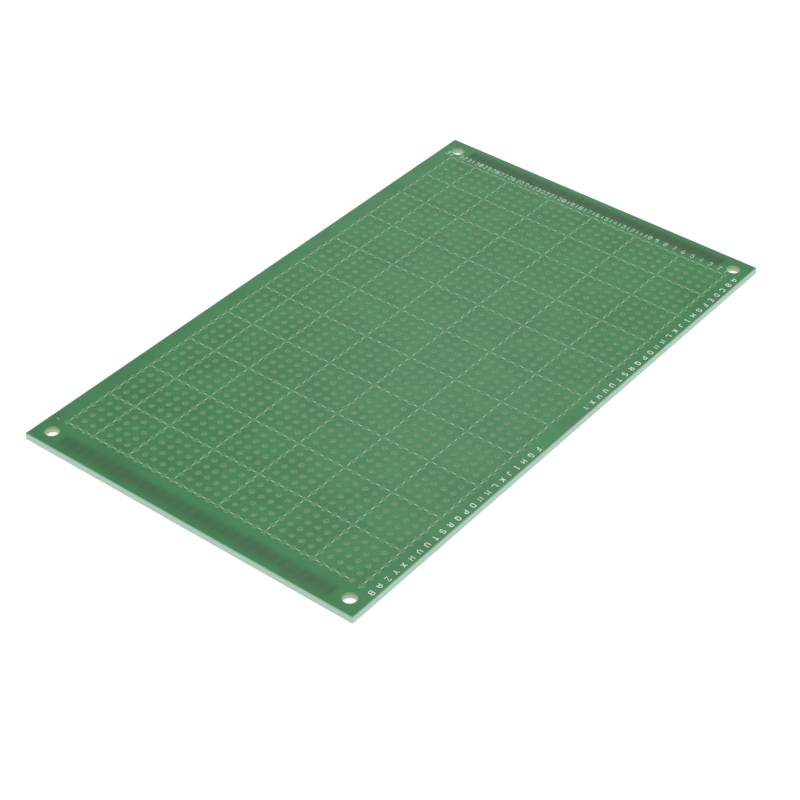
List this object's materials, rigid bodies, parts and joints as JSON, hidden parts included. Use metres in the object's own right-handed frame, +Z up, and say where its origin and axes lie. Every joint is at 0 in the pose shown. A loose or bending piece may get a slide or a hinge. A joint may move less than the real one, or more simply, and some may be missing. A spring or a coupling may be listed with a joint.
{
  "type": "prototype circuit board",
  "caption": "Flat rectangular prototype circuit board with a grid of lead holes, corner mounting holes, ring pads and edge pads on the solder side, and printed guide lines.",
  "frame": {"origin": "centre of the solder side, which is the face that the board lies on", "axes": "+X along the board towards the plain short edge, +Y towards the lettered long edge, +Z up out of the component side"},
  "size_m": [0.15, 0.09, 0.0016],
  "materials": {
    "glass_epoxy": "pale translucent glass-epoxy laminate with sawn edges",
    "solder_mask": "satin green solder mask",
    "tinned_copper": "bright tinned copper foil",
    "white_ink": "screen-printed white ink"
  },
  "bodies": {
    "root": {"laminate": "glass_epoxy", "mask_top": "solder_mask", "lead_pads": "tinned_copper", "edge_pads": "tinned_copper", "legend_lines": "white_ink"}
  },
  "joints": []
}
